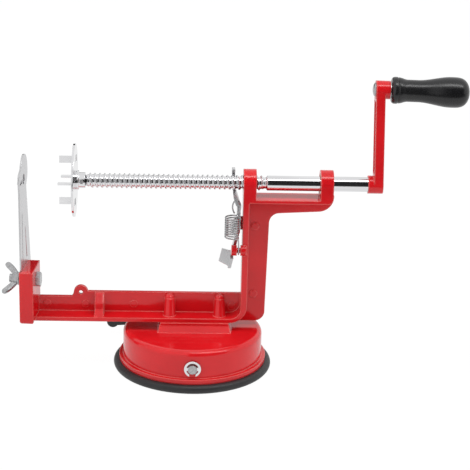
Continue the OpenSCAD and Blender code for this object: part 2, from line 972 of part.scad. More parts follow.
module blade_washer() {
    color("silver")
        at_end_plate()
            difference() {
                bar_x(2 * bolt_r + 0.5, blade_left - washer_t, blade_left, 0, bolt_z);
                bar_x(bolt_r + seat_gap, blade_left - washer_t - 1, 1, 0, bolt_z);
            }
}

// One wing, out along the bolt and away from it, with a round tip
module wing() {
    solid_y(-wing_t / 2, wing_t / 2)
        polygon([
            [1.2, bolt_r - 0.5],
            [nut_h - 0.4, bolt_r - 0.5],
            [wing_flare + 0.9, wing_reach - 0.9],
            [wing_flare - 0.9, wing_reach + 0.9]
        ]);
    bar_y(wing_tip_r, -wing_t / 2, wing_t / 2, wing_flare, wing_reach);
}

module wing_nut() {
    seat_x = washer_t + free_gap - blade_left;
    color("silver")
        at_end_plate()
            translate([-seat_x, 0, bolt_z])
                difference() {
                    union() {
                        bar_x(nut_r, -nut_h, 0, 0, 0);
                        for (side = [0, 180])
                            rotate([wing_turn + side, 0, 0])
                                mirror([1, 0, 0])
                                    wing();
                    }
                    bar_x(bolt_r + run_gap, -nut_h - 8, 1, 0, 0);
                }
}

// Feed screw

// A point on strand s of the ridge, m steps along the helix
function ridge_point(m, s) =
    let (
        turn = 360 * m / thread_sides,
        x = thread_x + pitch * (strand_share[s] + m / thread_sides),
        r = strand_r[s]
    ) [x, r * cos(turn), r * sin(turn)];

// The ridge winds round as a band of strands, each turn joined to the next, closed by a ramp at each end
module threaded_length() {
    steps = thread_sides * (turns + 1);
    ridge = [for (m = [0:steps]) for (s = [0:strands - 1]) ridge_point(m, s)];
    first_hub = len(ridge);
    ends = [[thread_x + pitch / 2, 0, 0], [thread_end_x - pitch / 2, 0, 0]];
    function at(m, s) = s < strands ? m * strands + s : (m + thread_sides) * strands;
    last = steps - thread_sides;
    skin = [
        for (m = [0:last - 1])
            for (s = [0:strands - 1])
                for (half = [0, 1])
                    half == 0
                        ? [at(m, s), at(m, s + 1), at(m + 1, s)]
                        : [at(m + 1, s), at(m, s + 1), at(m + 1, s + 1)]
    ];
    start_ramp = [for (m = [0:thread_sides - 1]) [first_hub, at(m, 0), at(m + 1, 0)]];
    start_step = [for (s = [0:strands - 1]) [first_hub, at(0, s + 1), at(0, s)]];
    end_ramp = [for (m = [last:steps - 1]) [first_hub + 1, at(m + 1, 0), at(m, 0)]];
    end_step = [for (s = [0:strands - 1]) [first_hub + 1, at(last, s), at(last, s + 1)]];
    translate([0, 0, axis_z])
        polyhedron(concat(ridge, ends), concat(skin, start_ramp, start_step, end_ramp, end_step));
}

module feed_shaft() {
    color("silver")
        difference() {
            union() {
                threaded_length();
                bar_x(core_shaft_r, shaft_tip_x, smooth_x + 1, 0, axis_z);
                bar_x(shaft_r, smooth_x, shaft_end_x, 0, axis_z);
            }
            bar_y(cross_pin_r, -shaft_r - 1, shaft_r + 1, hub_pin_x, axis_z);
            bar_y(cross_pin_r, -crank_pin_depth, shaft_r + 1, crank_pin_x, axis_z);
        }
}

module shaft_bush() {
    color("khaki")
        difference() {
            bar_x(bush_r, lug_right - lug_t + bush_inset, lug_right - bush_inset, 0, axis_z);
            bar_x(shaft_r + run_gap, lug_right - lug_t - 1, lug_right + 1, 0, axis_z);
        }
}

module disc_hub() {
    color("silver")
        difference() {
            union() {
                bar_x(hub_flange_r, hub_left, hub_left + hub_flange_t, 0, axis_z);
                bar_x(hub_r, hub_left, hub_right, 0, axis_z);
            }
            bar_x(core_shaft_r, hub_left - 1, hub_right + 1, 0, axis_z);
            bar_y(cross_pin_r, -hub_r - 1, hub_r + 1, hub_pin_x, axis_z);
        }
}

module hub_pin() {
    color("silver")
        bar_y(cross_pin_r, pin_inset - hub_r, hub_r - pin_inset, hub_pin_x, axis_z);
}

// One prong's frame: z out from the axis
module at_prong(turn) {
    translate([disc_x, 0, axis_z])
        rotate([turn + disc_turn, 0, 0])
            translate([0, 0, prong_ring - prong_w / 2])
                children();
}

// Four prongs cut from the disc and bent towards the blade, each beside the window that it leaves
module prong_disc() {
    color("lightgray")
        difference() {
            union() {
                bar_x(disc_r, disc_x, disc_x + disc_t, 0, axis_z);
                for (turn = [0:90:270])
                    at_prong(turn)
                        translate([-prong_len, -disc_t / 2, 0])
                            cube([prong_len + disc_t / 2, disc_t, prong_w]);
            }
            for (turn = [0:90:270])
                at_prong(turn)
                    translate([-1, disc_t / 2, 0])
                        cube([disc_t + 2, prong_len - disc_t, prong_w]);
            bar_x(core_shaft_r, disc_x - 1, disc_x + disc_t + 1, 0, axis_z);
        }
}

// Crank

// The arm seen along Y, from the hub up to the grip's boss
module crank_drawing() {
    polygon([
        [arm_x, axis_z],
        [arm_x + arm_t, axis_z],
        [arm_x + arm_t - arm_lean, grip_z],
        [arm_x - arm_lean, grip_z]
    ]);
}

// The channel cast into the arm's side that faces the frame
module crank_channel() {
    low_z = axis_z + crank_boss_r + channel_end;
    top_z = grip_z - crank_boss_r - channel_end;
    function floor_x(z) = arm_x + channel_d - arm_lean * (z - axis_z) / crank_throw;
    solid_y(channel_wall - arm_d / 2, arm_d / 2 - channel_wall)
        polygon([
            [crank_x, low_z],
            [floor_x(low_z), low_z],
            [floor_x(top_z), top_z],
            [crank_x, top_z]
        ]);
}

module crank_arm() {
    color("crimson")
        difference() {
            union() {
                solid_y(-arm_d / 2, arm_d / 2)
                    crank_drawing();
                bar_x(crank_boss_r, crank_x, arm_x + arm_t, 0, axis_z);
                at_grip()
                    bar_x(crank_boss_r, 0, top_boss_l, 0, 0);
            }
            bar_x(shaft_r, crank_x - 1, shaft_end_x, 0, axis_z);
            at_grip()
                bar_x(spindle_r, -1, top_boss_l + 1, 0, 0);
            bar_y(cross_pin_r, 0, crank_boss_r + 1, crank_pin_x, axis_z);
            crank_channel();
        }
}

module crank_pin() {
    color("silver")
        bar_y(cross_pin_r, -crank_pin_depth, crank_boss_r - pin_inset, crank_pin_x, axis_z);
}

module handle_spindle() {
    color("silver")
        at_grip()
            union() {
                bar_x(spindle_r, -spindle_head_t, spindle_end, 0, 0);
                bar_x(spindle_head_r, -spindle_edge, 0, 0, 0);
                bar_x(spindle_head_r - spindle_edge, -spindle_head_t, 0, 0, 0);
            }
}

module spindle_washer() {
    color("silver")
        at_grip()
            difference() {
                bar_x(spindle_r + 2, top_boss_l, top_boss_l + spindle_washer_t, 0, 0);
                bar_x(spindle_r, top_boss_l - 1, grip_at, 0, 0);
            }
}

// Radius on the way from r0 to r1, level at both ends
function swell(r0, r1, u) = r0 + (r1 - r0) * u * u * (3 - 2 * u);

// Half of the grip's section: a chamfered collar, a groove, a waist, a bulge and a round end
module grip_section() {
    samples = 8;
    polygon(concat(
        [
            [0, 0],
            [grip_collar_r - collar_edge, 0],
            [grip_collar_r, collar_edge],
            [grip_collar_r, collar_l],
            [grip_neck_r, groove_at],
            [grip_neck_r - groove_d, groove_at],
            [grip_neck_r - groove_d, groove_at + groove_d]
        ],
        [
            for (i = [0:samples])
                let (u = i / samples)
                [swell(grip_neck_r, grip_waist_r, u), neck_at + (waist_at - neck_at) * u]
        ],
        [
            for (i = [0:samples])
                let (u = i / samples)
                [swell(grip_waist_r, grip_bulge_r, u), waist_end + (bulge_at - waist_end) * u]
        ],
        [
            for (i = [1:samples])
                let (u = sin(90 * i / samples))
                [grip_bulge_r * sqrt(1 - pow(u, end_power)), bulge_at + (grip_len - bulge_at) * u]
        ]
    ));
}

module handle_grip() {
    color("black")
        at_grip()
            difference() {
                translate([grip_at, 0, 0])
                    rotate([0, 90, 0])
                        rotate_extrude($fn = 64)
                            grip_section();
                bar_x(spindle_r + run_gap, grip_at - 1, spindle_end + 0.5, 0, 0);
            }
}

// Release lever

// The plate seen along Y: upright at the shaft, close to the pillar at its pivot, out again at its foot
module release_bends() {
    half = release_t / 2;
    bends = [
        [release_x, release_top],
        [release_x, axis_z - 3.5],
        [plate_low_x, axis_z - 13.5],
        [plate_low_x, pivot_z - 4.5],
        [tab_low_x, tab_z - 1.5]
    ];
    count = len(bends);
    polygon(concat(
        [for (i = [0:count - 1]) bends[i] - [half, 0]],
        [for (i = [count - 1:-1:0]) bends[i] + [half, 0]]
    ));
}

// The plate seen along X: a hook behind the shaft, an ear for the spring and a leg
module release_outline() {
    difference() {
        union() {
            polygon([
                [release_front, spring_hole_z + 2],
                [2.4, spring_hole_z + 2],
                [2.4, release_top],
                [frame_half_d - 0.5, release_top],
                [frame_half_d + 1, release_top - 4],
                [frame_half_d + 1, axis_z - 12],
                [frame_half_d - 2, pivot_z],
                [frame_half_d - 4, tab_z - 3],
                [release_front, tab_z - 3],
                [release_front, foot_top_z],
                [limb_front, foot_top_z],
                [limb_front, pivot_z - 6],
                [release_front, pivot_z - 2]
            ]);
            translate([hook_y - 2, spring_hole_z - 2.6])
                square([release_front - hook_y + 2.5, 4.6]);
        }
        translate([0, axis_z])
            circle(shaft_r + free_gap);
        translate([hook_y, spring_hole_z])
            circle(spring_hole_r);
        translate([pivot_y, pivot_z])
            circle(pivot_r + run_gap);
    }
}

// A short tooth that lies in the thread's groove
module release_tooth() {
    intersection() {
        translate([release_x - tooth_t / 2, 0, axis_z])
            rotate([0, 90, 0])
                difference() {
                    cylinder(r = shaft_r + 1.5, h = tooth_t);
                    translate([0, 0, -1])
                        cylinder(r = tooth_r, h = tooth_t + 2);
                }
        translate([release_x - tooth_t, 0, axis_z - tooth_w / 2])
            cube([2 * tooth_t, 2 * shaft_r, tooth_w]);
    }
}

// The tab that the thumb presses, bent out of the foot's front edge
module thumb_tab() {
    solid_y(release_front, release_front + tab_t)
        translate([tab_low_x, tab_z])
            polygon([
                [-tab_top_out, tab_top_h],
                [tab_neck_out, tab_neck_h],
                [tab_neck_out, foot_top_z - tab_z],
                [tab_root_out, foot_top_z - tab_z],
                [tab_tip_out, -tab_tip_h],
                [-tab_edge_out, tab_edge_h],
                [-tab_low_out, tab_low_h]
            ]);
}

module release_lever() {
    color("lightgray")
        union() {
            intersection() {
                solid_y(-2 * frame_half_d, 2 * frame_half_d)
                    release_bends();
                solid_x(release_x - frame_half_d, pillar_x)
                    release_outline();
            }
            release_tooth();
            thumb_tab();
        }
}

module release_pivot() {
    head_x = plate_low_x - release_t / 2 - free_gap;
    color("silver")
        union() {
            bar_x(pivot_r, head_x - 0.5, pillar_x + pillar_flange_t, pivot_y, pivot_z);
            bar_x(pivot_r + 1.6, head_x - pivot_head_t, head_x, pivot_y, pivot_z);
        }
}

// Spring

// A smooth way from p to q that leaves along u and arrives along v
function ease(p, u, q, v, t) =
    let (a = 1 - t)
    a * a * a * p + 3 * a * a * t * (p + u / 3) + 3 * a * t * t * (q - v / 3) + t * t * t * q;

// Where the wire is on its coil, counted in turns from the bottom
function coil_point(turn) = [
    coil_x + coil_r * cos(360 * turn),
    coil_y - coil_r * sin(360 * turn),
    coil_z + coil_pitch * turn
];

// Where the wire is on the lower loop and on the upper hook, by angle
function loop_point(a) = [loop_x, peg_y + loop_r * cos(a), peg_z + loop_r * sin(a)];
function hook_point(a) = [hook_x + hook_rx * cos(a), hook_y, hook_z + hook_rz * sin(a)];

// From the lower loop, which passes under the peg, up the coil to the upper hook
rings_a_turn = 8;
wire_path = let (
    loop_from = 50,
    loop_steps = 7,
    loop_step = (loop_from + 180) / loop_steps,
    hook_from = -60,
    hook_steps = 8,
    hook_step = 36,
    hook_to = hook_from + hook_steps * hook_step,
    along_coil = [0, -coil_r * 1.2, 0],
    loop_tail = [0, -sin(loop_from), cos(loop_from)],
    hook_tail = unit([-hook_rx * sin(hook_to), 0, hook_rz * cos(hook_to)])
) concat(
    [loop_point(loop_from) + 2 * wire_r * loop_tail],
    [for (i = [0:loop_steps - 1]) loop_point(loop_from - i * loop_step)],
    [for (t = [0:0.2:0.8]) ease(loop_point(-180), [0, 0, 7], coil_point(0), along_coil, t)],
    [for (i = [0:rings_a_turn * coil_turns]) coil_point(i / rings_a_turn)],
    [for (t = [0.3, 0.65]) ease(coil_point(coil_turns), along_coil, hook_point(hook_from), [5, 0, 5], t)],
    [for (i = [0:hook_steps]) hook_point(hook_from + i * hook_step)],
    [hook_point(hook_to) + 2 * wire_r * hook_tail]
);

function unit(v) = v / norm(v);
function way(p, i) = unit(p[min(i + 1, len(p) - 1)] - p[max(i - 1, 0)]);
function square_to(n, t) = unit(n - (n * t) * t);
// Each ring's own upright, carried along the path with the least twist
function uprights(p, i, n) =
    i == len(p) ? [] : let (here = square_to(n, way(p, i))) concat([here], uprights(p, i + 1, here));

module wire(path, r, sides) {
    count = len(path);
    side_up = uprights(path, 0, [1, 0.2, 0.1]);
    points = [
        for (i = [0:count - 1])
            let (up = side_up[i], across = cross(way(path, i), up))
            for (k = [0:sides - 1])
                path[i] + r * (cos(360 * k / sides) * up + sin(360 * k / sides) * across)
    ];
    function at(i, k) = i * sides + k % sides;
    skin = [
        for (i = [0:count - 2])
            for (k = [0:sides - 1])
                for (half = [0, 1])
                    half == 0
                        ? [at(i, k), at(i + 1, k), at(i, k + 1)]
                        : [at(i, k + 1), at(i + 1, k), at(i + 1, k + 1)]
    ];
    low_end = [for (k = [1:sides - 2]) [at(0, 0), at(0, k), at(0, k + 1)]];
    high_end = [for (k = [1:sides - 2]) [at(count - 1, 0), at(count - 1, k + 1), at(count - 1, k)]];
    polyhedron(points, concat(skin, low_end, high_end));
}

// The least distance between two stretches of the wire that are not neighbours
function least_gap(p, apart) =
    min([for (i = [0:len(p) - 1]) for (j = [i + apart:1:len(p) - 1]) norm(p[i] - p[j])]) - 2 * wire_r;
echo(spring_least_gap = least_gap(wire_path, rings_a_turn - 2));

module release_spring() {
    color("silver")
        wire(wire_path, wire_r, 6);
}

rubber_cup();
cup_stud();
base_housing();
cam_shaft();
lift_cam();
e_clip();
suction_lever();
lever_pin();
frame_screws();
screw_washers();
frame_casting();
slicer_blade();
coring_tube();
blade_bolt();
blade_washer();
wing_nut();
shaft_bush();
feed_shaft();
disc_hub();
hub_pin();
prong_disc();
crank_arm();
crank_pin();
handle_spindle();
spindle_washer();
handle_grip();
release_lever();
release_pivot();
release_spring();
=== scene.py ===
# %% [markdown]
# A hand cranked spiral slicer for potatoes
# This lesson dresses a finished CAD model: it loads the solids, replaces the few that need a finer
# surface, and gives every piece the finish that it has on the real machine. The frame is the model's own:
# X along the feed screw, Y away from the viewer, Z up. Sizes of pieces are written in millimetres, as on a
# drawing, and become metres in the mesh. The stage round the object is written in metres.

# %% Load the frame
import json
import math

import bmesh
import bpy
import numpy as np
from mathutils import Matrix, Vector


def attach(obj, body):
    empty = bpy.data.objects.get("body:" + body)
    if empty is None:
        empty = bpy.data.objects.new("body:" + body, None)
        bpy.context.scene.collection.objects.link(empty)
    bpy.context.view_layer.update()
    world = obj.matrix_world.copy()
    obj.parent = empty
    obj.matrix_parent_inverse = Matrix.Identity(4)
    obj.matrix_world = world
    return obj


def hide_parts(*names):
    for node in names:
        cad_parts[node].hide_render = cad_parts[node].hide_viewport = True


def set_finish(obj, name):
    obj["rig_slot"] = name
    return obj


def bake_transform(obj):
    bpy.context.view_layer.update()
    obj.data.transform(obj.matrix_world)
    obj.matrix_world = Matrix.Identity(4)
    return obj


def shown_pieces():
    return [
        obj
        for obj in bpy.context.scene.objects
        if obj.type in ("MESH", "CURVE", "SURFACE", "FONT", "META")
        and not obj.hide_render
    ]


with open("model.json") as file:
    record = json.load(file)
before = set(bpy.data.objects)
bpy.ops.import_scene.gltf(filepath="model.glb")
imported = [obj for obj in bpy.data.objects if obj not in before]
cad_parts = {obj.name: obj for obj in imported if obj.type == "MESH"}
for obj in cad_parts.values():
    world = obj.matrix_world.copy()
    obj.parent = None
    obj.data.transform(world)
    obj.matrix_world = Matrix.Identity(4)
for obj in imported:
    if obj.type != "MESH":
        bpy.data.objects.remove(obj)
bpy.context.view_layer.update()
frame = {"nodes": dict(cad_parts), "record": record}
nodes = frame["nodes"]
MM = 0.001

# %% [markdown]
# Every new piece here is a sheet of points: rows along a path, and points round each row. One function
# turns such a sheet into a mesh. A primitive with modifiers could stand in for a few of them, but a sheet
# lets the formula of the real surface decide where each point lies.

# %% From a sheet of points to a piece


def face_table(rows, around, ring):
    """Quads of a sheet: each corner's number is its row times the row's length plus its place in the row.
    With ring, the last row joins the first one, as on a tyre."""
    row = np.arange(rows if ring else rows - 1)[:, None]
    place = np.arange(around)[None, :]
    after, beside = (row + 1) % rows, (place + 1) % around
    corners = [row * around + place, row * around + beside, after * around + beside, after * around + place]
    return np.stack(np.broadcast_arrays(*corners), -1).reshape(-1, 4)


def sheet_piece(name, sheet, ring=False):
    """A closed piece from a sheet of points in mm, closed round each row. The two end rows are filled with
    a flat face each, unless the rows themselves close into a ring."""
    rows, around = sheet.shape[:2]
    faces = face_table(rows, around, ring).tolist()
    if not ring:
        faces += [list(range(around)), list(range((rows - 1) * around, rows * around))]
    mesh = bpy.data.meshes.new(name)
    mesh.from_pydata((sheet.reshape(-1, 3) * MM).tolist(), [], faces)
    outward = bmesh.new()
    outward.from_mesh(mesh)
    bmesh.ops.recalc_face_normals(outward, faces=outward.faces)
    outward.to_mesh(mesh)
    outward.free()
    smooth = np.ones(len(mesh.polygons), bool)
    if not ring:
        smooth[-2:] = False
    mesh.polygons.foreach_set("use_smooth", smooth)
    piece = bpy.data.objects.new(name, mesh)
    bpy.context.scene.collection.objects.link(piece)
    print(name, "has", len(mesh.vertices), "points")
    return piece


def lathe(profile, start, axis, around=96):
    """Turned surface: each profile point (distance along the axis, radius) goes round the axis as
    start + distance * axis + radius * (cos a * side + sin a * up)."""
    axis = np.asarray(axis, float) / np.linalg.norm(axis)
    side = np.array([0.0, 1.0, 0.0]) - axis[1] * axis
    side /= np.linalg.norm(side)
    up = np.cross(axis, side)
    angle = np.linspace(0, 2 * np.pi, around, endpoint=False)
    circle = np.cos(angle)[:, None] * side + np.sin(angle)[:, None] * up
    profile = np.asarray(profile, float)
    return np.asarray(start, float) + profile[:, :1, None] * axis + profile[:, 1, None, None] * circle


def eased(share):
    """Smooth step from 0 to 1, level at both ends: 3 s^2 - 2 s^3."""
    share = np.clip(share, 0, 1)
    return share * share * (3 - 2 * share)


# %% [markdown]
# The feed screw is a plated steel bar with a round, coarse thread on its left part. A helix modelled by
# twisting a profile would need hundreds of joined turns. As a height field on the bar's own cylinder it is
# one formula: how far a point lies along the pitch, minus how far it lies round the bar, says whether it
# is on the ridge or in the groove.

# %% Feed screw
AXIS_Z = 112.5
THREAD_FROM, THREAD_TO, PITCH = -61.41, 39.39, 2.8
CREST_R, ROOT_R, NECK_R, CHAMFER = 4.3, 3.5, 3.25, 0.5
SHAFT_FROM, SMOOTH_FROM, SHAFT_TO = -70.0, 40.9, 106.3
FLANK_SHARE, RIDGE_SHARE = 0.24, 0.67
ROW_STEP, CHAMFER_ROWS = 0.01, np.array([0, 0.02, 0.6, 0.62])


def screw_sheet(around=48, rows_a_pitch=18):
    """Radius = root + depth * ridge, where ridge rises and falls with the phase
    (x - start) / pitch - angle / full turn, and fades out over half a pitch at the thread's two ends. The
    plain shaft starts with a chamfer."""
    threaded = np.linspace(THREAD_FROM, THREAD_TO, int(rows_a_pitch * (THREAD_TO - THREAD_FROM) / PITCH))
    x = np.concatenate([[SHAFT_FROM, THREAD_FROM - ROW_STEP], threaded, [THREAD_TO + ROW_STEP],
                        SMOOTH_FROM + CHAMFER_ROWS, np.linspace(SMOOTH_FROM + 1, SHAFT_TO, 12)])[:, None]
    angle = np.linspace(0, 2 * np.pi, around, endpoint=False)[None, :]
    phase = np.mod((x - THREAD_FROM) / PITCH - angle / (2 * np.pi), 1)
    ridge = eased(phase / FLANK_SHARE) * eased((RIDGE_SHARE - phase) / FLANK_SHARE)
    fade = eased((x - THREAD_FROM) / (PITCH / 2)) * eased((THREAD_TO - x) / (PITCH / 2))
    radius = np.where((x < THREAD_FROM) | (x > THREAD_TO), NECK_R, ROOT_R + (CREST_R - ROOT_R) * ridge * fade)
    chamfer = CREST_R - CHAMFER + np.clip(x - SMOOTH_FROM, 0, CHAMFER)
    radius = np.where(x > SMOOTH_FROM, chamfer, radius)
    return np.stack([x + 0 * radius, radius * np.cos(angle), AXIS_Z + radius * np.sin(angle)], -1)


screw = sheet_piece("feed_screw", screw_sheet())
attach(screw, "feed")
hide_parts("feed_shaft")
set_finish(screw, "chrome")

# %% [markdown]
# The release spring is one drawn wire: a loop under the peg, a close coil, and a long hook through the
# lever's ear. A curve object with a bevel would do too. Here a circle is carried along the wire's own path,
# so that the coil, the loop and the hook are one unbroken tube.

# %% Release spring
WIRE_R, COIL_R, COIL_TURNS, COIL_RISE = 0.45, 3.8, 9, 1.4
COIL_FOOT = np.array([21.4, -11.2, 82.9])
PEG = np.array([25.65, -7.5, 74.0])
LOOP_R, LOOP_FROM, LOOP_TO = 2.3, 50, -180
HOOK = np.array([23.8, -10.6, 101.1])
HOOK_WIDE, HOOK_TALL, HOOK_FROM, HOOK_TO = 2.3, 4.0, -60, 228
LOOP_LEAD, HOOK_LEAD, COIL_LEAD = np.array([0, 0, 7.0]), np.array([5.0, 0, 5.0]), 1.2
HOOK_TAIL_WAY = np.array([0.54, 0, -0.84])


def ring_path(centre, across, over, wide, tall, first, last, count):
    """Points on an ellipse: centre + wide cos a * across + tall sin a * over, from angle first to last."""
    a = np.radians(np.linspace(first, last, count))[:, None]
    return centre + wide * np.cos(a) * np.array(across) + tall * np.sin(a) * np.array(over)


def eased_path(p, leave, q, arrive, count):
    """Cubic curve from p to q that leaves along one vector and arrives along another, ends left out."""
    t = np.linspace(0, 1, count + 2)[1:-1, None]
    s = 1 - t
    return s**3 * p + 3 * s * s * t * (p + leave / 3) + 3 * s * t * t * (q - arrive / 3) + t**3 * q


def spring_path():
    """Tail, loop, rise, coil, rise, hook and tail, one after the other."""
    turn = np.linspace(0, COIL_TURNS, 32 * COIL_TURNS + 1)[:, None]
    angle = 2 * np.pi * turn
    coil = COIL_FOOT + np.concatenate([COIL_R * np.cos(angle), -COIL_R * np.sin(angle), COIL_RISE * turn], 1)
    loop = ring_path(PEG, [0, 1, 0], [0, 0, 1], LOOP_R, LOOP_R, LOOP_FROM, LOOP_TO, 24)
    hook = ring_path(HOOK, [1, 0, 0], [0, 0, 1], HOOK_WIDE, HOOK_TALL, HOOK_FROM, HOOK_TO, 32)
    along = np.array([0, -COIL_LEAD * COIL_R, 0])
    loop_start = math.radians(LOOP_FROM)
    low_tail = loop[:1] + 2 * WIRE_R * np.array([0, -math.sin(loop_start), math.cos(loop_start)])
    high_tail = hook[-1:] + 2 * WIRE_R * HOOK_TAIL_WAY
    low = eased_path(loop[-1], LOOP_LEAD, coil[0], along, 12)
    high = eased_path(coil[-1], along, hook[0], HOOK_LEAD, 8)
    return np.concatenate([low_tail, loop, low, coil, high, hook, high_tail])


def tube_sheet(path, radius, around=12):
    """Circle carried along a path: path + radius * (cos a * upright + sin a * across). Both arms of the
    circle are square to the path, and across is also square to a slant that the wire never runs along."""
    way = np.gradient(path, axis=0)
    way /= np.linalg.norm(way, axis=1)[:, None]
    across = np.cross(way, [1.0, 1.0, 1.0])
    across /= np.linalg.norm(across, axis=1)[:, None]
    upright = np.cross(across, way)
    a = np.linspace(0, 2 * np.pi, around, endpoint=False)[None, :, None]
    return path[:, None] + radius * (np.cos(a) * upright[:, None] + np.sin(a) * across[:, None])


wire_path = spring_path()
spring = sheet_piece("release_spring_wire", tube_sheet(wire_path, WIRE_R))
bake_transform(spring)
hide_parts("release_spring")
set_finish(spring, "spring_steel")
print("wire length", round(float(np.linalg.norm(np.diff(wire_path, axis=0), axis=1).sum()), 1), "mm")

# %% [markdown]
# The grip is a moulding that turns on a riveted spindle: a collar, a thin groove, a waist for the fingers
# and a bulge that ends round. It could be modelled with a subdivided cylinder. A lathe of the measured
# profile is exact, and keeps the collar's small edges crisp.

# %% Grip
GRIP_DROOP = math.radians(1.2)
GRIP_AXIS = [math.cos(GRIP_DROOP), 0, -math.sin(GRIP_DROOP)]
GRIP_START = np.array([100.9, 0, 168.3])
GRIP_AT, GRIP_LEN, WAIST_AT, BULGE_AT = 9.05, 44.2, 15.0, 33.8
COLLAR_R, NECK_OUT_R, WAIST_R, BULGE_R = 7.6, 7.35, 6.25, 8.65
EDGE_ALONG, EDGE_ACROSS, GRIP_BORE_R, GROOVE_R = 1.9, 1.4, 3.2, 7.05
NECK_AT, NECK_LEN, END_POWER, END_LEFT = 4.0, 5.0, 3.6, 1e-5


def grip_profile():
    """Collar with rounded edges, a groove, then two smooth steps from neck to waist to bulge, and an end
    whose radius is bulge * sqrt(1 - u^3.6)."""
    turn = np.radians(np.linspace(0, 90, 8))
    edge_r = COLLAR_R - EDGE_ACROSS + EDGE_ACROSS * np.sin(turn)
    edge = np.stack([EDGE_ALONG - EDGE_ALONG * np.cos(turn), edge_r], 1)
    collar = np.array([[2.8, COLLAR_R], [3.2, COLLAR_R - 0.1], [3.4, NECK_OUT_R], [3.45, GROOVE_R],
                       [3.7, GROOVE_R], [3.8, NECK_OUT_R - 0.05]])
    u = np.linspace(0, 1, 24)
    neck = np.stack([NECK_AT + NECK_LEN * u, NECK_OUT_R + (WAIST_R - NECK_OUT_R) * eased(u)], 1)
    swell = np.stack([WAIST_AT + (BULGE_AT - WAIST_AT) * u, WAIST_R + (BULGE_R - WAIST_R) * eased(u)], 1)
    v = np.sin(np.linspace(0, np.pi / 2, 28))[1:]
    end_r = BULGE_R * np.sqrt(np.maximum(1 - v**END_POWER, END_LEFT))
    end = np.stack([BULGE_AT + (GRIP_LEN - BULGE_AT) * v, end_r], 1)
    profile = np.concatenate([[[0, GRIP_BORE_R]], edge, collar, neck, swell, end])
    profile[:, 0] += GRIP_AT
    return profile


grip = sheet_piece("turned_grip", lathe(grip_profile(), GRIP_START, GRIP_AXIS))
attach(grip, "grip")
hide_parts("handle_grip")
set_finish(grip, "black_plastic")

# %% [markdown]
# The spindle is riveted over on the far side of the crank, which leaves a low domed head. The dome is the
# only part of it that shows, so the lathe gives it a round profile and runs on as the plain spindle.

# %% Riveted spindle
RIVET_R, RIVET_RISE, SPINDLE_R, SPINDLE_END = 4.0, 1.6, 2.6, 47.2


def rivet_profile():
    """Dome: rise * cos a along the axis and radius * sin a away from it, then a short rim and the spindle."""
    a = np.radians(np.linspace(2, 84, 18))
    dome = np.stack([-RIVET_RISE * np.cos(a), RIVET_R * np.sin(a)], 1)
    rest = np.array([[-0.02, RIVET_R], [0, RIVET_R - 0.05], [0.01, SPINDLE_R], [SPINDLE_END, SPINDLE_R]])
    return np.concatenate([dome, rest])


rivet = sheet_piece("riveted_spindle", lathe(rivet_profile(), GRIP_START, GRIP_AXIS, 64))
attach(rivet, "feed")
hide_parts("handle_spindle")
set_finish(rivet, "zinc_steel")

# %% [markdown]
# The wing nut is a small casting: a round body and two wings that sweep out and away. Each wing is a
# squared ellipse carried along a bent path, a little wider and thinner outwards, and closed by shrinking to
# nothing at its tip. Boxes with a bevel would look stamped instead of cast.

# %% Wing nut
RAKE = math.radians(4.5)
BOLT = np.array([-91.1, -3.5, 53.4])
BOLT_OUT = -np.array([math.cos(RAKE), -math.sin(RAKE), 0])
BOLT_SIDE = np.array([math.sin(RAKE), math.cos(RAKE), 0])
UPRIGHT = np.array([0.0, 0.0, 1.0])
NUT_SEAT, NUT_H, NUT_R, BOLT_R = 9.05, 5.0, 3.9, 2.55
FLANK_AT, FLANK_HALF, FLANK_ROUND = 1.2, 0.6, 0.3
WING_TURN = math.radians(-46)
OUT_AT, OUT_EVEN, OUT_CUBIC = 2.3, 5.6, 2.0
REACH_AT, REACH_EVEN = 1.4, 8.2
ROOT_WIDE, MORE_WIDE, ROOT_THICK, LESS_THICK = 1.65, 0.25, 1.0, 0.1
TIP_POWER, TIP_LEFT, SQUARENESS = 12, 0.0004, 0.5


def nut_profile():
    """A closed loop of (height, radius): rounded flank, tapered top, bore and seat."""
    a = np.radians(np.linspace(-90, 90, 9))
    flank_r = NUT_R - FLANK_ROUND + FLANK_ROUND * np.cos(a)
    flank = np.stack([FLANK_AT + FLANK_HALF * np.sin(a), flank_r], 1)
    top = np.array([[2.4, NUT_R - 0.45], [NUT_H - 0.5, NUT_R - 0.75], [NUT_H - 0.1, NUT_R - 1.0]])
    bore = np.array([[NUT_H, BOLT_R + 0.1], [NUT_H - 0.3, BOLT_R], [0.3, BOLT_R], [0, BOLT_R + 0.3]])
    loop = np.concatenate([flank, top, bore, [[0, NUT_R - 0.9]]])
    loop[:, 0] += NUT_SEAT
    return loop


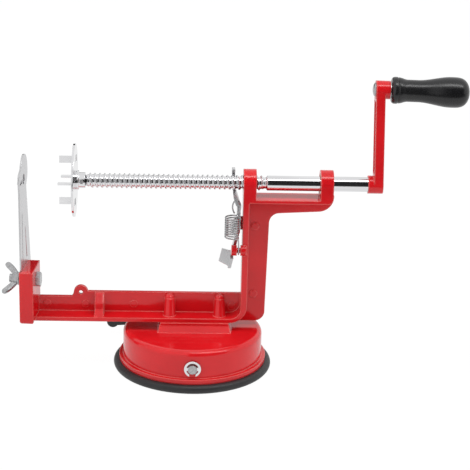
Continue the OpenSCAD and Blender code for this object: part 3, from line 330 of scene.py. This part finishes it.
def wing_sheet(turn, around=28, rows=30):
    """Rounded bar along a path: with s from 0 to 1, out grows with s and s^3, and reach with s. The section
    is a squared ellipse, cos and sin to the power 0.5, and shrinks as sqrt(1 - s^12) at the tip."""
    s = np.linspace(0, 1, rows)[:, None]
    out = OUT_AT + OUT_EVEN * s + OUT_CUBIC * s**3
    reach = REACH_AT + REACH_EVEN * s
    close = np.sqrt(np.maximum(1 - s**TIP_POWER, TIP_LEFT))
    wide = (ROOT_WIDE + MORE_WIDE * s) * close
    thick = (ROOT_THICK - LESS_THICK * s) * close
    way = np.gradient(np.concatenate([out, reach], 1), axis=0)
    way /= np.linalg.norm(way, axis=1)[:, None]
    radial = math.cos(turn) * UPRIGHT - math.sin(turn) * BOLT_SIDE
    flat = math.sin(turn) * UPRIGHT + math.cos(turn) * BOLT_SIDE
    middle = BOLT + (NUT_SEAT + out) * BOLT_OUT + reach * radial
    normal = -way[:, 1:] * BOLT_OUT + way[:, :1] * radial
    a = np.linspace(0, 2 * np.pi, around, endpoint=False)[None, :, None]
    over, beside = (np.sign(w) * np.abs(w) ** SQUARENESS for w in (np.cos(a), np.sin(a)))
    return middle[:, None] + wide[:, None] * over * normal[:, None] + thick[:, None] * beside * flat


nut = sheet_piece("nut_body", lathe(nut_profile(), BOLT, BOLT_OUT, 48), ring=True)
wings = [sheet_piece("nut_wing_" + end, wing_sheet(turn)) for end, turn in
         (("upper", WING_TURN), ("lower", WING_TURN + math.pi))]
for piece in [nut, *wings]:
    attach(piece, "nut")
    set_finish(piece, "zinc_steel")
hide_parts("wing_nut")

# %% [markdown]
# Finishes come next. Each is a small node tree on a Principled shader: a pattern in the piece's own Object
# coordinates drives the colour, the roughness and a bump at the real scale of that finish. Pictures of
# surfaces would be quicker, but a pattern has no seams and no resolution.

# %% Helpers for finishes


def finish_base(name, **constants):
    """A material with one Principled shader; values that are the same all over are set on its own sockets."""
    material = bpy.data.materials.new(name)
    material.use_nodes = True
    tree = material.node_tree
    shader = tree.nodes["Principled BSDF"]
    for socket, value in constants.items():
        shader.inputs[socket.replace("_", " ")].default_value = value
    print("finish", name)
    return material, tree, shader


def node(tree, kind, links=None, **values):
    """Adds a node, sets its options and sockets by name, and links its inputs."""
    made = tree.nodes.new(kind)
    for key, value in values.items():
        if key in made.bl_rna.properties:
            setattr(made, key, value)
        else:
            made.inputs[key.replace("_", " ")].default_value = value
    for socket, source in (links or {}).items():
        tree.links.new(source, made.inputs[socket])
    return made


def grain(tree, stretch, detail=3.0):
    """Noise in Object coordinates; stretch is how many grains go into a metre along X, Y and Z."""
    place = node(tree, "ShaderNodeTexCoord").outputs["Object"]
    scaled = node(tree, "ShaderNodeMapping", {"Vector": place}, Scale=stretch)
    return node(tree, "ShaderNodeTexNoise", {"Vector": scaled.outputs["Vector"]}, Scale=1.0, Detail=detail)


def between(tree, source, low, high, band=(0.3, 0.7)):
    """Carries a 0 to 1 pattern into a range of values."""
    made = node(tree, "ShaderNodeMapRange", {"Value": source}, From_Min=band[0], From_Max=band[1],
                To_Min=low, To_Max=high)
    return made.outputs["Result"]


def two_tone(tree, source, dark, light):
    """Mixes two colours by a 0 to 1 pattern. A colour is three numbers, or the output of another mix."""
    made = node(tree, "ShaderNodeMix", {"Factor": source}, data_type="RGBA")
    for socket, colour in ((made.inputs[6], dark), (made.inputs[7], light)):
        if isinstance(colour, tuple):
            socket.default_value = (*colour, 1)
        else:
            tree.links.new(colour, socket)
    return made.outputs[2]


def rounded_edges(tree, radius):
    """Normal that rolls over the solid's sharp edges, as on a casting with a small radius."""
    return node(tree, "ShaderNodeBevel", samples=6, Radius=radius).outputs["Normal"]


def bumped(tree, height, depth, strength, normal):
    """Bump of that depth in metres, on top of another normal."""
    links = {"Height": height, "Normal": normal}
    return node(tree, "ShaderNodeBump", links, Distance=depth, Strength=strength).outputs["Normal"]


# %% [markdown]
# The frame, the housing and the crank are castings in red enamel. Sprayed enamel is glossy with a faint
# orange peel of about a millimetre and varies a little in depth. A pale painted highlight lies along the
# sharp edges; its strength comes from how far the rolled normal leaves the flat one.

# %% Red enamel
# The third colour is a painted highlight: the pale tone laid along the sharp edges.
ENAMEL_DEEP, ENAMEL_BRIGHT, ENAMEL_EDGE_HIGHLIGHT = (0.60, 0.007, 0.011), (0.72, 0.011, 0.016), (0.95, 0.20, 0.18)
EDGE_R, EDGE_HIGHLIGHT_BAND, EDGE_HIGHLIGHT_SHARE = 1.2, (0.74, 0.96), 0.9
CLOUDS, PEEL, PEEL_ROUGH, PEEL_DEPTH = 40, 900, (0.08, 0.14), 0.02


def red_enamel():
    """Two reds in broad clouds and a painted highlight on edges. CLOUDS and PEEL are how many go into a
    metre.
    """
    material, tree, shader = finish_base("red_enamel_finish", IOR=1.5)
    clouds = between(tree, grain(tree, (CLOUDS, CLOUDS, CLOUDS)).outputs["Fac"], 0, 1)
    colour = two_tone(tree, clouds, ENAMEL_DEEP, ENAMEL_BRIGHT)
    rolled = rounded_edges(tree, EDGE_R * MM)
    flat = node(tree, "ShaderNodeNewGeometry").outputs["Normal"]
    along = node(tree, "ShaderNodeVectorMath", {0: rolled, 1: flat}, operation="DOT_PRODUCT").outputs["Value"]
    # Painted highlight: the pale colour is mixed in where the rolled normal leaves the flat one, along edges.
    edge = between(tree, along, EDGE_HIGHLIGHT_SHARE, 0, EDGE_HIGHLIGHT_BAND)
    tree.links.new(two_tone(tree, edge, colour, ENAMEL_EDGE_HIGHLIGHT), shader.inputs["Base Color"])
    peel = grain(tree, (PEEL, PEEL, PEEL), 1.0).outputs["Fac"]
    tree.links.new(between(tree, peel, *PEEL_ROUGH), shader.inputs["Roughness"])
    tree.links.new(bumped(tree, peel, PEEL_DEPTH * MM, 0.25, rolled), shader.inputs["Normal"])
    return material


# %% [markdown]
# Plated, rolled and zinc coated steel differ in how they were made: the screw and the disc are polished and
# chrome plated, the blade is rolled sheet with fine streaks along its length, and the small hardware is
# barrel plated, which leaves a fine mottle. The same recipe with another grain and roughness gives each, and
# the bush's bronze too.

# %% Steels
STEEL_EDGE = 0.25


def steel(name, dark, light, stretch, rough, depth):
    """Metal whose grain drives its tone, its roughness and a shallow bump over slightly rolled edges."""
    material, tree, shader = finish_base(name, Metallic=1.0)
    pattern = grain(tree, stretch).outputs["Fac"]
    tree.links.new(two_tone(tree, between(tree, pattern, 0, 1), dark, light), shader.inputs["Base Color"])
    tree.links.new(between(tree, pattern, *rough), shader.inputs["Roughness"])
    normal = bumped(tree, pattern, depth * MM, 0.3, rounded_edges(tree, STEEL_EDGE * MM))
    tree.links.new(normal, shader.inputs["Normal"])
    return material


def grey(value):
    """A neutral grey with the faint cold tint of plating."""
    return (value, value, value * 1.015)


chrome = steel("chrome_plate", grey(0.74), grey(0.86), (30, 500, 500), (0.02, 0.05), 0.0003)
blade_steel = steel("rolled_sheet", grey(0.60), grey(0.72), (300, 300, 14), (0.26, 0.36), 0.0005)
zinc = steel("barrel_zinc", grey(0.38), grey(0.54), (700, 700, 700), (0.2, 0.34), 0.003)
wire_steel = steel("drawn_wire", grey(0.38), grey(0.56), (900, 900, 120), (0.12, 0.24), 0.002)
bronze = steel("sintered_bronze", (0.42, 0.27, 0.10), (0.60, 0.43, 0.20), (1500, 1500, 1500),
               (0.35, 0.55), 0.01)

# %% [markdown]
# The suction ring is moulded rubber, dull and slightly chalky where it has been handled, and the grip and
# the suction lever are satin plastic from an eroded mould, whose fine pitting breaks up the highlight.

# %% Rubber and plastic
MOULD_EDGE, MOULD_CLOUDS = 0.5, 60


def moulded(name, dark, light, rough, pits, depth):
    """Dull or satin moulding: broad clouds in its tone, fine pits in its roughness and bump."""
    material, tree, shader = finish_base(name)
    clouds = between(tree, grain(tree, (MOULD_CLOUDS, MOULD_CLOUDS, MOULD_CLOUDS)).outputs["Fac"], 0, 1)
    tree.links.new(two_tone(tree, clouds, dark, light), shader.inputs["Base Color"])
    fine = grain(tree, (pits, pits, pits), 2.0).outputs["Fac"]
    tree.links.new(between(tree, fine, *rough), shader.inputs["Roughness"])
    normal = bumped(tree, fine, depth * MM, 0.4, rounded_edges(tree, MOULD_EDGE * MM))
    tree.links.new(normal, shader.inputs["Normal"])
    return material


rubber = moulded("moulded_rubber", (0.012, 0.012, 0.013), (0.020, 0.020, 0.021), (0.42, 0.58), 1400, 0.03)
plastic = moulded("satin_plastic", (0.007, 0.007, 0.008), (0.012, 0.012, 0.013), (0.22, 0.30), 2200, 0.004)
enamel = red_enamel()

# %% [markdown]
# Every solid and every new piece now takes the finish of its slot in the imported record, so that a repaint
# of a slot reaches all its pieces. Giving each piece a material by hand would be easy to get out of step.

# %% Dress every piece
FINISHES = {"red_enamel": enamel, "rubber": rubber, "black_plastic": plastic, "chrome": chrome,
            "blade_steel": blade_steel, "zinc_steel": zinc, "spring_steel": wire_steel, "bronze": bronze}
slot_of = {row["node"]: row["material_slot"] for row in frame["record"]["subparts"]}
for name, solid in nodes.items():
    solid.data.materials.clear()
    solid.data.materials.append(FINISHES[slot_of[name]])
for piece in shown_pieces():
    if "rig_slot" in piece:
        piece.data.materials.clear()
        piece.data.materials.append(FINISHES[piece["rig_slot"]])

# %% [markdown]
# The photograph is a catalogue shot on white: a long lens a little above the object, turned by two degrees.
# The camera's place comes from the measured ring, shaft and disc, so its matrix is written out here from
# yaw, pitch and roll, and the lens from the focal length in pixels.

# %% Camera
YAW, PITCH_DOWN, ROLL = (math.radians(a) for a in (2.0, 18.219, 1.43))
DISTANCE, FOCAL_PX, PICTURE_PX, SENSOR = 0.9, 1552.8, 470, 36.0
TARGET = Vector((0.02367, 0, 0.08083))
level = math.cos(PITCH_DOWN)
back = Vector((-math.sin(YAW) * level, -math.cos(YAW) * level, math.sin(PITCH_DOWN)))
level_right = (-back).cross(Vector((0, 0, 1))).normalized()
level_up = level_right.cross(-back)
right = math.cos(ROLL) * level_right + math.sin(ROLL) * level_up
up = math.cos(ROLL) * level_up - math.sin(ROLL) * level_right
camera = bpy.data.objects.new("camera", bpy.data.cameras.new("camera"))
bpy.context.scene.collection.objects.link(camera)
turned = Matrix((right, up, back)).transposed().to_4x4()
camera.matrix_world = Matrix.Translation(TARGET + DISTANCE * back) @ turned
camera.data.sensor_width = SENSOR
camera.data.lens = FOCAL_PX / PICTURE_PX * SENSOR
camera.data.clip_start, camera.data.clip_end = 0.01, 50
bpy.context.scene.camera = camera
print("lens", round(camera.data.lens, 1), "mm")

# %% [markdown]
# The floor and the world have three levels, chosen by the kind of ray that meets them: pure white for the
# camera, a little less for reflections, and a plain grey as light on paint, so that the object is lit evenly
# and its colours stay as they are written. A dark card on the camera's side and a dark flag behind show only
# in reflections: they give the chrome the black band that a real studio's unlit end gives it.

# %% Floor, world and card


def level_by_ray(tree, eye, mirror, paint):
    """One level for rays from the camera, one for those from a mirror-like bounce, one for all others."""
    path = node(tree, "ShaderNodeLightPath")
    shine = node(tree, "ShaderNodeMapRange", {"Value": path.outputs["Is Glossy Ray"]},
                 To_Min=paint, To_Max=mirror)
    seen = node(tree, "ShaderNodeMapRange",
                {"Value": path.outputs["Is Camera Ray"], "To Min": shine.outputs[0]}, To_Max=eye)
    return seen.outputs[0]


def emptied(holder):
    """The node tree of a material or world, switched on and cleared."""
    holder.use_nodes = True
    holder.node_tree.nodes.clear()
    return holder.node_tree


def flat_sheet(name, points):
    """A stage sheet from rows of points in metres."""
    points = np.asarray(points, float)
    mesh = bpy.data.meshes.new(name)
    quads = face_table(points.shape[0], 2, False)[::2].tolist()
    mesh.from_pydata(points.reshape(-1, 3).tolist(), [], quads)
    sheet = bpy.data.objects.new(name, mesh)
    bpy.context.scene.collection.objects.link(sheet)
    return sheet


FLOOR_REACH, FLOOR_GREY, SHADOW_SHARE = 6.0, 0.82, 0.05
EYE_LEVEL, MIRROR_LEVEL, LIGHT_LEVEL = 1.03, 0.9, 0.5
floor = flat_sheet("floor", [[(-FLOOR_REACH, -FLOOR_REACH, 0), (FLOOR_REACH, -FLOOR_REACH, 0)],
                             [(-FLOOR_REACH, FLOOR_REACH, 0), (FLOOR_REACH, FLOOR_REACH, 0)]])
floor_paint = bpy.data.materials.new("white_floor")
tree = emptied(floor_paint)
white = node(tree, "ShaderNodeEmission", {"Strength": level_by_ray(tree, EYE_LEVEL, MIRROR_LEVEL, 0)})
matt = node(tree, "ShaderNodeBsdfDiffuse", Color=(FLOOR_GREY, FLOOR_GREY, FLOOR_GREY, 1))
share = level_by_ray(tree, 1 - SHADOW_SHARE, 1, 0)
mixed = node(tree, "ShaderNodeMixShader", {0: share, 1: matt.outputs[0], 2: white.outputs[0]})
node(tree, "ShaderNodeOutputMaterial", {"Surface": mixed.outputs[0]})
floor.data.materials.append(floor_paint)

world = bpy.data.worlds.new("studio")
bpy.context.scene.world = world
tree = emptied(world)
sky_level = level_by_ray(tree, EYE_LEVEL, MIRROR_LEVEL, LIGHT_LEVEL)
sky = node(tree, "ShaderNodeBackground", {"Strength": sky_level}, Color=(1, 1, 1, 1))
node(tree, "ShaderNodeOutputWorld", {"Surface": sky.outputs[0]})

CARD_RIGHT, CARD_FROM, CARD_R, CARD_TOP, CARD_FOOT = 2.2, 0.3, 1.6, 55, 0.004
CARD_LEFT, CARD_LEAN, CARD_GREY = -0.0665, 0.0725, 0.02
FLAG_LEFT, FLAG_RIGHT, FLAG_Y, FLAG_LOW, FLAG_HIGH = -2.5, -0.03, 1.5, 0.25, 0.75
turn = np.radians(np.linspace(0, CARD_TOP, 17))
card_y = -np.append(CARD_FROM, CARD_R * np.cos(turn))
card_z = CARD_FOOT + np.append(0, CARD_R * np.sin(turn))
left_edge = np.stack([CARD_LEFT + CARD_LEAN * card_y, card_y, card_z], 1)
right_edge = np.stack([0 * card_y + CARD_RIGHT, card_y, card_z], 1)
card = flat_sheet("dark_card", np.stack([left_edge, right_edge], 1))
card_paint = bpy.data.materials.new("card_black")
card_paint.use_nodes = True
card_shader = card_paint.node_tree.nodes["Principled BSDF"]
card_shader.inputs["Base Color"].default_value = (CARD_GREY, CARD_GREY, CARD_GREY, 1)
card_shader.inputs["Roughness"].default_value = 1.0
flag = flat_sheet("dark_flag", [[(FLAG_LEFT, FLAG_Y, FLAG_LOW), (FLAG_RIGHT, FLAG_Y, FLAG_LOW)],
                                [(FLAG_LEFT, FLAG_Y, FLAG_HIGH), (FLAG_RIGHT, FLAG_Y, FLAG_HIGH)]])
for sheet in (card, flag):
    sheet.data.materials.append(card_paint)
    sheet.visible_camera = sheet.visible_diffuse = sheet.visible_shadow = sheet.visible_transmission = False
print("floor, world, card and flag are up")

# %% [markdown]
# Three soft lamps light the paint: a strip above and a large box on either side. Mirrors would show them as
# hard white shapes, so reflections leave them out and see the world's even white instead. A fourth strip does
# the opposite: it shows only in reflections, and draws the soft line along the grip and the upper edges.

# %% Lamps
AIM = (0.02, 0, 0.08)


def soft_lamp(name, place, size, watts, aim=AIM, in_mirrors=False):
    """A rectangular area lamp at a place, turned to shine at a point. It lights either paint or mirrors."""
    lamp = bpy.data.objects.new(name, bpy.data.lights.new(name, "AREA"))
    lamp.data.shape = "RECTANGLE"
    lamp.data.size, lamp.data.size_y = size
    lamp.data.energy = watts
    lamp.location = place
    lamp.rotation_mode = "QUATERNION"
    lamp.rotation_quaternion = (Vector(aim) - Vector(place)).to_track_quat("-Z", "Y")
    lamp.visible_camera = False
    lamp.visible_glossy, lamp.visible_diffuse = in_mirrors, not in_mirrors
    bpy.context.scene.collection.objects.link(lamp)
    print("lamp", name, watts, "W")


soft_lamp("top_strip", (0.0, -0.25, 1.3), (1.8, 0.4), 11.0)
soft_lamp("left_box", (-1.2, -0.5, 0.7), (1.2, 1.0), 4.5)
soft_lamp("right_box", (1.2, -0.5, 0.6), (1.0, 0.8), 3.0)
soft_lamp("gloss_strip", (0.5, -0.4, 1.15), (1.1, 0.25), 4.4, aim=(0.5, 0, 0.08), in_mirrors=True)
bpy.context.scene.view_settings.view_transform = "Standard"

# %% End
print("scene is set up")
